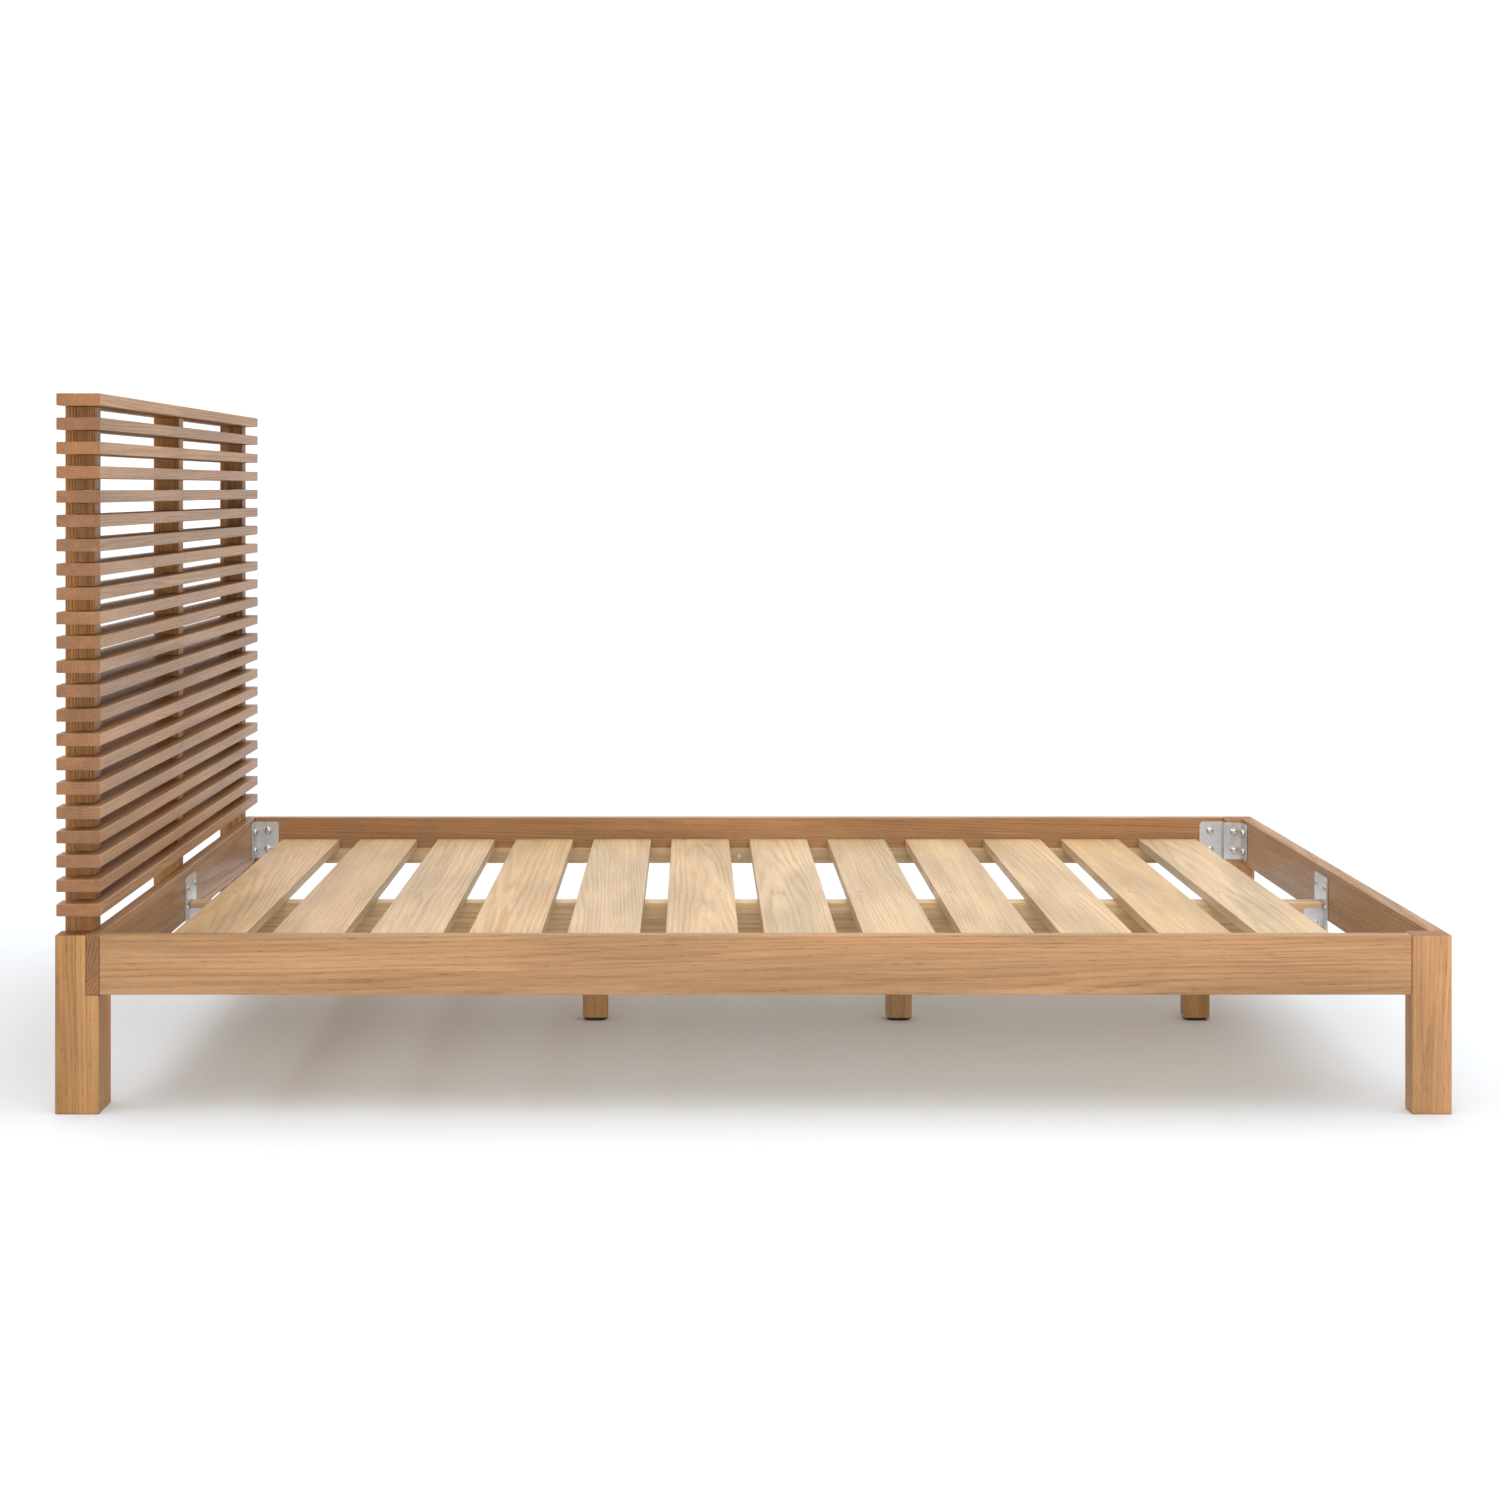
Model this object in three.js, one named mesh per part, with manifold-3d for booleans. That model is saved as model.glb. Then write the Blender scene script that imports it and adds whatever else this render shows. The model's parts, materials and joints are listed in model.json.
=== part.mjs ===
// A low wooden bed frame for a queen mattress, with a tall headboard of level slats.
// Units are millimetres. +X runs from the head end to the foot end, +Y to the sleeper's left
// and +Z up. The origin is on the floor, in the middle of the bed's outline.
import * as THREE from 'three';
import { mergeVertices } from 'three/addons/utils/BufferGeometryUtils.js';
import Module from 'manifold-3d';

const wasm = await Module();
wasm.setup();

// Outline
const LENGTH = 2150;
const WIDTH = 1600;
const HEIGHT = 1110;
const GAP = 0.3; // left between pieces that touch

// Base frame: four corner legs and the rails between them
const RAIL_TOP = 276;
const RAIL_HEIGHT = 92;
const RAIL_THICK = 25;
const CROSS_RAIL_THICK = 20;
const HEAD_LEG_DEPTH = 68; // along the bed
const FOOT_LEG_DEPTH = 61.5;
const LEG_WIDTH = 46; // across the bed

// Headboard
const SLAT_INSET = 2; // headboard slats stand this far in from the head end
const POST_INSET = 6;
const POST_DEPTH = 46;
const POST_WIDTH = 45;
const SLAT_DEPTH = 68;
const SLAT_THICK = 19;
const SLAT_COUNT = 22;
const SLAT_PITCH = 37.45;
const LAP_LINE = 25; // slats are notched up to here and posts are cut back to here

// Mattress deck
const DECK_TOP = 232;
const DECK_SLAT_THICK = 18;
const DECK_SLAT_WIDTH = 120;
const DECK_SLAT_COUNT = 12;
const DECK_SIDE_CLEARANCE = 5;
const LEDGER_THICK = 22;
const BEAM_WIDTH = 45;
const BEAM_HEIGHT = 60;
const CENTRE_LEG_SIDE = 45;
const CENTRE_LEGS_FROM_HEAD = [805, 1355, 1894];

// Levelling feet, screwed right up into the centre legs
const PAD_RADIUS = 21;
const PAD_THICK = 5;
const PAD_EASE = 1.5;
const STUD_RADIUS = 4;
const STUD_TOP = 40;
const STUD_HOLE_RADIUS = 4.4;
const STUD_HOLE_TOP = 50;
const ROUND_STEPS = 24;

// Steel plate brackets
const PLATE_THICK = 3;
const BRACKET_ARM = 50;
const BRACKET_HEIGHT = 76;
const HANGER_FLANGE = 24; // each side of the beam
const HANGER_CHEEK = 40; // along the beam
const HANGER_TOP = 262;
const HANGER_CHEEK_TOP = 204;

// Levels and places that follow from the sizes above
const RAIL_BOTTOM = RAIL_TOP - RAIL_HEIGHT;
const DECK_BOTTOM = DECK_TOP - DECK_SLAT_THICK;
const BEAM_BOTTOM = DECK_BOTTOM - GAP - BEAM_HEIGHT;
const POST_FRONT = POST_INSET + POST_DEPTH;
const SLAT_FRONT = SLAT_INSET + SLAT_DEPTH;
const CROSS_RAIL_REAR = HEAD_LEG_DEPTH - CROSS_RAIL_THICK;
const FOOT_LEG_START = LENGTH - FOOT_LEG_DEPTH;
const FOOT_RAIL_START = LENGTH - RAIL_THICK;
const RAIL_INSIDE = RAIL_THICK + GAP; // depth in from the side of the bed
const BRACKET_BOTTOM = RAIL_TOP - (RAIL_HEIGHT + BRACKET_HEIGHT) / 2;
const LEDGER_START = HEAD_LEG_DEPTH + BRACKET_ARM + 4;
const LEDGER_END = FOOT_LEG_START - BRACKET_ARM - 4;
const OUTER_POST_FROM_SIDE = LEG_WIDTH + GAP;
const SIDES = { right: -1, left: 1 };

const paint = (color, roughness, metalness = 0) =>
  new THREE.MeshStandardMaterial({ color, roughness, metalness });
const MATERIALS = {
  leg: paint(0xbd9061, 0.5),
  rail: paint(0xc49871, 0.5),
  post: paint(0x9c7450, 0.55),
  slat: paint(0xb89a80, 0.5),
  deck: paint(0xcdb08a, 0.65),
  steel: paint(0x8d8f92, 0.4, 0.9),
  glide: paint(0x2a2a2b, 0.6),
};

const bed = new THREE.Group();

function addPiece(name, geometry, material) {
  const mesh = new THREE.Mesh(geometry, material);
  mesh.name = name;
  bed.add(mesh);
}

// A block between two places along the bed, two across it and two heights. Places along the
// bed are counted from the head end, and places across it from the middle.
function block([fromHead, toHead], [yA, yB], [bottom, top]) {
  const across = Math.abs(yB - yA);
  const geometry = new THREE.BoxGeometry(toHead - fromHead, across, top - bottom);
  const middle = (fromHead + toHead - LENGTH) / 2;
  return geometry.translate(middle, (yA + yB) / 2, (bottom + top) / 2);
}

// Two places across the bed, given as depths in from one side's outer face.
const fromSide = (side, outer, inner) => [side * (WIDTH / 2 - outer), side * (WIDTH / 2 - inner)];

const aboutMiddle = (width) => [-width / 2, width / 2];

function toSolid(geometry) {
  const bare = geometry.clone().deleteAttribute('normal').deleteAttribute('uv');
  const merged = mergeVertices(bare, 1e-3);
  return new wasm.Manifold(new wasm.Mesh({
    numProp: 3,
    vertProperties: new Float32Array(merged.attributes.position.array),
    triVerts: new Uint32Array(merged.index.array),
  }));
}

function toGeometry(solid) {
  const mesh = solid.getMesh();
  const geometry = new THREE.BufferGeometry();
  geometry.setAttribute('position', new THREE.BufferAttribute(mesh.vertProperties, 3));
  geometry.setIndex(new THREE.BufferAttribute(mesh.triVerts, 1));
  geometry.computeVertexNormals();
  return geometry;
}

const cut = (base, cutters) =>
  toGeometry(cutters.reduce((solid, cutter) => solid.subtract(toSolid(cutter)), toSolid(base)));

const join = (pieces) =>
  toGeometry(pieces.slice(1).reduce((solid, piece) => solid.add(toSolid(piece)), toSolid(pieces[0])));

// An upright round solid from a profile of [radius, height] points, at a place along the bed.
function turned(profile, fromHead) {
  const points = profile.map(([radius, height]) => new THREE.Vector2(radius, height));
  const geometry = new THREE.LatheGeometry(points, ROUND_STEPS).rotateX(Math.PI / 2);
  return geometry.translate(fromHead - LENGTH / 2, 0, 0);
}

// A level outline of [from head, depth in from the side] points, made into upright plate.
function plate(side, outline, [bottom, top]) {
  const points = outline.map(([fromHead, depth]) =>
    new THREE.Vector2(fromHead - LENGTH / 2, side * (WIDTH / 2 - depth)));
  const options = { depth: top - bottom, bevelEnabled: false };
  return new THREE.ExtrudeGeometry(new THREE.Shape(points), options).translate(0, 0, bottom);
}

// The head leg is notched at its front so that the cross rail's end shows beside it.
function headLeg(side) {
  const across = fromSide(side, 0, LEG_WIDTH);
  const leg = block([0, HEAD_LEG_DEPTH], across, [0, RAIL_TOP]);
  const notch = block(
    [CROSS_RAIL_REAR - GAP, HEAD_LEG_DEPTH + 1],
    fromSide(side, -1, LEG_WIDTH + 1),
    [RAIL_BOTTOM - GAP, RAIL_TOP + 1],
  );
  return cut(leg, [notch]);
}

const footLeg = (side) =>
  block([FOOT_LEG_START, LENGTH], fromSide(side, 0, LEG_WIDTH), [0, RAIL_TOP]);

const slatTop = (index) => HEIGHT - index * SLAT_PITCH;

// Dados across a post's front, one for each slat below the cap slat.
function postDados(across) {
  const dados = [];
  const wider = [Math.min(...across) - 1, Math.max(...across) + 1];
  for (let index = 1; index < SLAT_COUNT; index += 1) {
    const heights = [slatTop(index) - SLAT_THICK - GAP, slatTop(index) + GAP];
    dados.push(block([LAP_LINE - GAP, POST_FRONT + 1], wider, heights));
  }
  return dados;
}

const postTop = HEIGHT - SLAT_THICK - GAP;

// The housing that lets a post sit 4 mm over the cross rail.
function railHousing(across) {
  const wider = [Math.min(...across) - 1, Math.max(...across) + 1];
  const heights = [RAIL_BOTTOM - GAP, RAIL_TOP + GAP];
  return block([CROSS_RAIL_REAR - GAP, HEAD_LEG_DEPTH + 1], wider, heights);
}

// An outer post stands on the floor beside the head leg. Below the cross rail it is as deep
// as the leg.
function outerPost(side) {
  const across = fromSide(side, OUTER_POST_FROM_SIDE, OUTER_POST_FROM_SIDE + POST_WIDTH);
  const upper = block([POST_INSET, POST_FRONT], across, [0, postTop]);
  const heel = block([POST_INSET, HEAD_LEG_DEPTH], across, [0, RAIL_BOTTOM - GAP]);
  return cut(join([upper, heel]), [railHousing(across), ...postDados(across)]);
}

// The middle post ends level with the cross rail's lower edge.
function middlePost() {
  const across = aboutMiddle(POST_WIDTH);
  const post = block([POST_INSET, POST_FRONT], across, [RAIL_BOTTOM, postTop]);
  return cut(post, [railHousing(across), ...postDados(across)]);
}

// The cap slat lies on the posts. The others are notched at the back to lap round them.
function headboardSlat(index) {
  const heights = [slatTop(index) - SLAT_THICK, slatTop(index)];
  const slat = block([SLAT_INSET, SLAT_FRONT], aboutMiddle(WIDTH), heights);
  if (index === 0) return slat;
  const deeper = [heights[0] - 1, heights[1] + 1];
  const notch = ([yA, yB]) => {
    const across = [Math.min(yA, yB) - GAP, Math.max(yA, yB) + GAP];
    return block([SLAT_INSET - 1, LAP_LINE], across, deeper);
  };
  const outer = Object.values(SIDES).map((side) =>
    notch(fromSide(side, OUTER_POST_FROM_SIDE, OUTER_POST_FROM_SIDE + POST_WIDTH)));
  return cut(slat, [...outer, notch(aboutMiddle(POST_WIDTH))]);
}

const sideRail = (side) => block(
  [HEAD_LEG_DEPTH + GAP, FOOT_LEG_START - GAP],
  fromSide(side, 0, RAIL_THICK),
  [RAIL_BOTTOM, RAIL_TOP],
);

const headCrossRail = () =>
  block([CROSS_RAIL_REAR, HEAD_LEG_DEPTH], aboutMiddle(WIDTH), [RAIL_BOTTOM, RAIL_TOP]);

const footRail = () =>
  block([FOOT_RAIL_START, LENGTH], aboutMiddle(WIDTH - 2 * LEG_WIDTH - 2 * GAP), [RAIL_BOTTOM, RAIL_TOP]);

const ledger = (side) => block(
  [LEDGER_START, LEDGER_END],
  fromSide(side, RAIL_INSIDE, RAIL_INSIDE + LEDGER_THICK),
  [RAIL_BOTTOM, DECK_BOTTOM - GAP],
);

function deckSlat(index) {
  const first = LEDGER_START + 4;
  const last = LEDGER_END - 4 - DECK_SLAT_WIDTH;
  const start = first + (index * (last - first)) / (DECK_SLAT_COUNT - 1);
  const across = aboutMiddle(WIDTH - 2 * (RAIL_THICK + DECK_SIDE_CLEARANCE));
  return block([start, start + DECK_SLAT_WIDTH], across, [DECK_BOTTOM, DECK_TOP]);
}

// The beam's ends stand in the hangers, clear of their back plates.
const centreBeam = () => block(
  [HEAD_LEG_DEPTH + PLATE_THICK + 2 * GAP, FOOT_RAIL_START - PLATE_THICK - 2 * GAP],
  aboutMiddle(BEAM_WIDTH),
  [BEAM_BOTTOM, BEAM_BOTTOM + BEAM_HEIGHT],
);

// A centre leg stands on its levelling foot and has a hole that takes the foot's stud.
function centreLeg(fromHead) {
  const half = CENTRE_LEG_SIDE / 2;
  const heights = [PAD_THICK + GAP, BEAM_BOTTOM - GAP];
  const leg = block([fromHead - half, fromHead + half], aboutMiddle(CENTRE_LEG_SIDE), heights);
  const hole = turned([
    [0, 0],
    [STUD_HOLE_RADIUS, 0],
    [STUD_HOLE_RADIUS, STUD_HOLE_TOP],
    [0, STUD_HOLE_TOP],
  ], fromHead);
  return cut(leg, [hole]);
}

const levellingFoot = (fromHead) => turned([
  [0, 0],
  [PAD_RADIUS - PAD_EASE, 0],
  [PAD_RADIUS, PAD_EASE],
  [PAD_RADIUS, PAD_THICK],
  [STUD_RADIUS, PAD_THICK],
  [STUD_RADIUS, STUD_TOP],
  [0, STUD_TOP],
], fromHead);

const BRACKET_HEIGHTS = [BRACKET_BOTTOM, BRACKET_BOTTOM + BRACKET_HEIGHT];

// An angle plate ties the side rail to the head cross rail.
function headBracket(side) {
  const back = HEAD_LEG_DEPTH + GAP;
  return plate(side, [
    [back, RAIL_INSIDE],
    [back + BRACKET_ARM, RAIL_INSIDE],
    [back + BRACKET_ARM, RAIL_INSIDE + PLATE_THICK],
    [back + PLATE_THICK, RAIL_INSIDE + PLATE_THICK],
    [back + PLATE_THICK, RAIL_INSIDE + BRACKET_ARM],
    [back, RAIL_INSIDE + BRACKET_ARM],
  ], BRACKET_HEIGHTS);
}

// A plate bent four ways ties the side rail, the foot leg and the foot rail together.
function footBracket(side) {
  const legFace = FOOT_LEG_START - GAP;
  const railFace = FOOT_RAIL_START - GAP;
  const legInside = LEG_WIDTH + GAP;
  return plate(side, [
    [legFace - BRACKET_ARM, RAIL_INSIDE],
    [legFace, RAIL_INSIDE],
    [legFace, legInside],
    [railFace, legInside],
    [railFace, legInside + BRACKET_ARM],
    [railFace - PLATE_THICK, legInside + BRACKET_ARM],
    [railFace - PLATE_THICK, legInside + PLATE_THICK],
    [legFace - PLATE_THICK, legInside + PLATE_THICK],
    [legFace - PLATE_THICK, RAIL_INSIDE + PLATE_THICK],
    [legFace - BRACKET_ARM, RAIL_INSIDE + PLATE_THICK],
  ], BRACKET_HEIGHTS);
}

// A hanger is a back plate with a seat and two cheeks that hold the beam's end. Direction is
// +1 where the beam leaves the rail towards the foot and -1 where it leaves towards the head.
function beamHanger(railFace, direction) {
  const along = (from, to) =>
    [railFace + direction * from, railFace + direction * to].sort((a, b) => a - b);
  const inner = BEAM_WIDTH / 2 + GAP;
  const outer = inner + PLATE_THICK;
  const seatTop = BEAM_BOTTOM - GAP;
  const seatBottom = seatTop - PLATE_THICK;
  const back = along(GAP, GAP + PLATE_THICK);
  const reach = along(GAP, GAP + HANGER_CHEEK);
  const backPlate = block(back, aboutMiddle(2 * (outer + HANGER_FLANGE)), [seatBottom, HANGER_TOP]);
  const seat = block(reach, aboutMiddle(2 * outer), [seatBottom, seatTop]);
  const cheeks = Object.values(SIDES).map((side) =>
    block(reach, [side * inner, side * outer], [seatBottom, HANGER_CHEEK_TOP]));
  return join([backPlate, seat, ...cheeks]);
}

for (const [name, side] of Object.entries(SIDES)) {
  addPiece(`head_leg_${name}`, headLeg(side), MATERIALS.leg);
  addPiece(`foot_leg_${name}`, footLeg(side), MATERIALS.leg);
  addPiece(`headboard_post_${name}`, outerPost(side), MATERIALS.post);
  addPiece(`side_rail_${name}`, sideRail(side), MATERIALS.rail);
  addPiece(`ledger_${name}`, ledger(side), MATERIALS.deck);
  addPiece(`head_corner_bracket_${name}`, headBracket(side), MATERIALS.steel);
  addPiece(`foot_corner_bracket_${name}`, footBracket(side), MATERIALS.steel);
}

addPiece('headboard_post_middle', middlePost(), MATERIALS.post);
addPiece('head_cross_rail', headCrossRail(), MATERIALS.rail);
addPiece('foot_rail', footRail(), MATERIALS.rail);
addPiece('centre_beam', centreBeam(), MATERIALS.deck);
addPiece('beam_hanger_head', beamHanger(HEAD_LEG_DEPTH, 1), MATERIALS.steel);
addPiece('beam_hanger_foot', beamHanger(FOOT_RAIL_START, -1), MATERIALS.steel);

for (let index = 0; index < SLAT_COUNT; index += 1) {
  const number = String(index + 1).padStart(2, '0');
  addPiece(`headboard_slat_${number}`, headboardSlat(index), MATERIALS.slat);
}

for (let index = 0; index < DECK_SLAT_COUNT; index += 1) {
  const number = String(index + 1).padStart(2, '0');
  addPiece(`deck_slat_${number}`, deckSlat(index), MATERIALS.deck);
}

CENTRE_LEGS_FROM_HEAD.forEach((fromHead, index) => {
  addPiece(`centre_leg_${index + 1}`, centreLeg(fromHead), MATERIALS.leg);
  addPiece(`levelling_foot_${index + 1}`, levellingFoot(fromHead), MATERIALS.glide);
});

export default bed;
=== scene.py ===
# %% [markdown]
# # A slatted wooden bed frame
#
# This lesson dresses a low wooden bed frame: square legs, plain rails, a slatted deck and a
# tall headboard of level slats. The joiner's part of the work, every size and every joint, is
# already done in the loaded frame. What is left is what makes it look like real timber: edges
# that a hand has eased, grain that runs the right way in every board, and the small steel
# fittings that hold it together. Lengths are in metres, +X runs from the head end to the foot
# end, and the floor is at zero.

# %% Load the frame
import json
import math
import random

import bmesh
import bpy
from mathutils import Euler, Matrix, Vector


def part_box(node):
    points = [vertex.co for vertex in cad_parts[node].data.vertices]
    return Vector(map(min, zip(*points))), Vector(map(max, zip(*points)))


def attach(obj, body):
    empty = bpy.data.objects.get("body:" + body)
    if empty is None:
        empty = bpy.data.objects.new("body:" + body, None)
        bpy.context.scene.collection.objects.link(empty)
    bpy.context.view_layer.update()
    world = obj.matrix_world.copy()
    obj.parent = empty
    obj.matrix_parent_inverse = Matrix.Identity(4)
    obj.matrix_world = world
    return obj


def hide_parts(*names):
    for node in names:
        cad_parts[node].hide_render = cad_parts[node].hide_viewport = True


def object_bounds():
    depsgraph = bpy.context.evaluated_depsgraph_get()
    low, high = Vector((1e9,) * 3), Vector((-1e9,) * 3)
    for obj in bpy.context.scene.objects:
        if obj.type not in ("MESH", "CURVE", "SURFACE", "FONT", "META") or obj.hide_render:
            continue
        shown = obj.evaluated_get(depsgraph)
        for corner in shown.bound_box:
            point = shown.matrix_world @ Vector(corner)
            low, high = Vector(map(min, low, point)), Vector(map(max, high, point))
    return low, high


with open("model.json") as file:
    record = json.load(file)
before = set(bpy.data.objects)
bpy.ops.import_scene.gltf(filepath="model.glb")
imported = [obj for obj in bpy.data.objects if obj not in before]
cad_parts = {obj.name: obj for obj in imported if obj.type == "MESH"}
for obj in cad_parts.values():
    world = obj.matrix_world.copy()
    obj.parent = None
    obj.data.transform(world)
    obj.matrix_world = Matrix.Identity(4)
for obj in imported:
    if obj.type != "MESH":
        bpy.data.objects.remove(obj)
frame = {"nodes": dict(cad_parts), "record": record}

cad_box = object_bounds()
low, high = cad_box
middle = (low + high) / 2
print(f"The bed is {high.x - low.x:.3f} long, {high.y - low.y:.3f} wide and {high.z:.3f} high.")

# %% [markdown]
# ## The camera
#
# The bed is seen square on to its long side, as in a catalogue. The camera looks level along
# +Y, so upright edges stay upright and rails stay level. Tilting the camera down would bend
# them together towards the floor. A lens shift moves the bed down in the frame instead, as a
# view camera does.

# %% Camera
CAMERA_BACK = 4.42  # from the bed's near side
CAMERA_HEIGHT = 0.964
CAMERA_ASIDE = -0.093  # from the middle of the bed's length

lens = bpy.data.cameras.new("catalogue_lens")
lens.sensor_width = 36
lens.lens = 68.95
lens.shift_x = 0.038
lens.shift_y = -0.1747
camera = bpy.data.objects.new("catalogue_camera", lens)
camera.location = (middle.x + CAMERA_ASIDE, low.y - CAMERA_BACK, CAMERA_HEIGHT)
camera.rotation_euler = (math.radians(90), 0, 0)
bpy.context.scene.collection.objects.link(camera)
bpy.context.scene.camera = camera
print(f"The camera stands {CAMERA_BACK} m from the bed and {CAMERA_HEIGHT} m above the floor.")

# %% [markdown]
# ## The floor
#
# A pale floor runs out to the horizon and meets a white world, and both are bright enough to
# meet without a line. Its paint is a touch cool, which keeps the shadow under the bed grey,
# where the honey wood above would tint it. It is only a stage, so it isn't part of the bed.

# %% Floor
def select_only(*objects):
    """Operators act on everything selected, so each step starts from a known selection."""
    bpy.ops.object.select_all(action="DESELECT")
    for item in objects:
        item.select_set(True)
    bpy.context.view_layer.objects.active = objects[0] if objects else None


FLOOR_SIDE = 80
select_only()
bpy.ops.mesh.primitive_plane_add(size=FLOOR_SIDE, location=(0, 0, 0))
floor = bpy.context.object
floor.name = "studio_floor"
FLOOR_PAINT = (0.86, 0.90, 0.94, 1)
paint = bpy.data.materials.new("floor_paint")
paint.use_nodes = True
floor_finish = paint.node_tree.nodes["Principled BSDF"]
floor_finish.inputs["Base Color"].default_value = FLOOR_PAINT
floor_finish.inputs["Roughness"].default_value = 0.9
floor_finish.inputs["Specular IOR Level"].default_value = 0.1
floor.data.materials.append(paint)
print(f"The floor is {FLOOR_SIDE} m square.")

# %% [markdown]
# ## The world around it
#
# The world is white in front of the bed and behind it and grows dark to the left, to the right
# and overhead, as if black cloths hung there, so the faces that look along the bed's length
# stay a shade darker than its long side. An even white world would be simpler, but it would
# light every face alike. The cloths only shape the light: a ray that meets the world straight
# from the lens finds it plain white.

# %% World
DARKEST, WHITEST = 0.10, 1.22  # at the world's sides, and at its front and back
CLOTH_SHAPE = 4  # a higher power brings the dark cloths further round

world = bpy.data.worlds.new("white_room")
world.use_nodes = True
sky = world.node_tree
background = sky.nodes["Background"]
around = sky.nodes.new("ShaderNodeTexCoord")
direction = sky.nodes.new("ShaderNodeSeparateXYZ")
sky.links.new(around.outputs["Object"], direction.inputs["Vector"])
lengthways = sky.nodes.new("ShaderNodeMath")
lengthways.operation = "POWER"
lengthways.inputs[1].default_value = CLOTH_SHAPE
sky.links.new(direction.outputs["Y"], lengthways.inputs[0])
whiter = sky.nodes.new("ShaderNodeMapRange")
whiter.inputs["To Min"].default_value = DARKEST
whiter.inputs["To Max"].default_value = WHITEST
sky.links.new(lengthways.outputs["Value"], whiter.inputs["Value"])
ray = sky.nodes.new("ShaderNodeLightPath")
plain = sky.nodes.new("ShaderNodeMath")
plain.operation = "MAXIMUM"
sky.links.new(ray.outputs["Is Camera Ray"], plain.inputs[0])
sky.links.new(whiter.outputs["Result"], plain.inputs[1])
sky.links.new(plain.outputs["Value"], background.inputs["Color"])
bpy.context.scene.world = world
print(f"The world runs from {DARKEST} at its sides to {WHITEST} in front and behind.")

# %% [markdown]
# ## The lamps
#
# The ceiling is one very wide soft lamp. It could be a large area lamp, but that lights the
# floor unevenly. A sun with a huge disc lights it all alike and leaves a soft pool of shadow
# under the bed. A weak square lamp in front gives the long side its slight sheen.

# %% Lamps
ceiling = bpy.data.lights.new("ceiling", "SUN")
ceiling.energy = 3.0
ceiling.angle = math.radians(110)
ceiling_lamp = bpy.data.objects.new("ceiling", ceiling)
ceiling_lamp.location = (0, 0, 5)
bpy.context.scene.collection.objects.link(ceiling_lamp)

front = bpy.data.lights.new("front", "AREA")
front.shape = "SQUARE"
front.size = 3
front.energy = 95
front_lamp = bpy.data.objects.new("front", front)
front_lamp.location = (0, -6.8, 2.2)
towards_bed = Vector((0, 0, 0.45)) - front_lamp.location
front_lamp.rotation_euler = towards_bed.to_track_quat("-Z", "Y").to_euler()
bpy.context.scene.collection.objects.link(front_lamp)
bpy.context.scene.view_settings.view_transform = "Standard"
print(f"Lamps: a soft ceiling, {ceiling.energy:.1f}, and a front lamp, {front.energy:.0f} W.")

# %% [markdown]
# ## Shorthand for nodes
#
# A material is a tree of small nodes, and a long one is tiring to write link by link. These
# helpers each add one node, plug its inputs and hand back its output, so a formula for wood
# reads from left to right.

# %% Node helpers
def node(tree, kind, **settings):
    made = tree.nodes.new(kind)
    for name, value in settings.items():
        setattr(made, name, value)
    return made


def plug(tree, socket, value):
    """Links a socket, or sets it where the value is a number, a colour or a vector."""
    if isinstance(value, bpy.types.NodeSocket):
        tree.links.new(value, socket)
    else:
        socket.default_value = value


def sums(tree, operation, *values, clamp=False):
    made = node(tree, "ShaderNodeMath", operation=operation, use_clamp=clamp)
    for socket, value in zip(made.inputs, values):
        plug(tree, socket, value)
    return made.outputs["Value"]


def vectors(tree, operation, *values, out="Vector"):
    made = node(tree, "ShaderNodeVectorMath", operation=operation)
    for socket, value in zip(made.inputs, values):
        plug(tree, socket, value)
    return made.outputs[out]


def ramp(tree, value, start, end, low_value=0.0, high_value=1.0):
    made = node(tree, "ShaderNodeMapRange", interpolation_type="SMOOTHSTEP")
    for name, item in zip(("Value", "From Min", "From Max", "To Min", "To Max"),
                          (value, start, end, low_value, high_value)):
        plug(tree, made.inputs[name], item)
    return made.outputs["Result"]


def blend(tree, share, first, second, how="MIX"):
    made = node(tree, "ShaderNodeMix", data_type="RGBA", blend_type=how)
    plug(tree, made.inputs["Factor"], share)
    plug(tree, made.inputs[6], first)
    plug(tree, made.inputs[7], second)
    return made.outputs[2]


print("Node helpers:", ", ".join(helper.__name__ for helper in (plug, sums, vectors, ramp, blend)))

# %% [markdown]
# ## What wood is made of
#
# A board is cut from a log, and its figure is the log's yearly rings met at a slant. So the
# wood here is solid: a pattern in space, and each face shows the slice it is cut through. Rings
# are a distance from the log's heart, bent by a slow wander. Open pores lie in the first part of
# each ring, drawn out along the grain. A board's ends then show arcs and dots, and its faces
# show lines and arches, from the same few nodes.

# %% Noise along the grain
def grain_noise(tree, place, along, across, detail=2.0, colour=False):
    """Noise drawn out along the grain: so many features a metre along it and across it."""
    stretched = vectors(tree, "MULTIPLY", place, (along, across, across))
    made = node(tree, "ShaderNodeTexNoise")
    plug(tree, made.inputs["Vector"], stretched)
    made.inputs["Scale"].default_value = 1.0
    made.inputs["Detail"].default_value = detail
    return made.outputs["Color" if colour else "Fac"]


# %% Growth rings
WANDER = 0.020  # how far the rings stray from true circles


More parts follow.
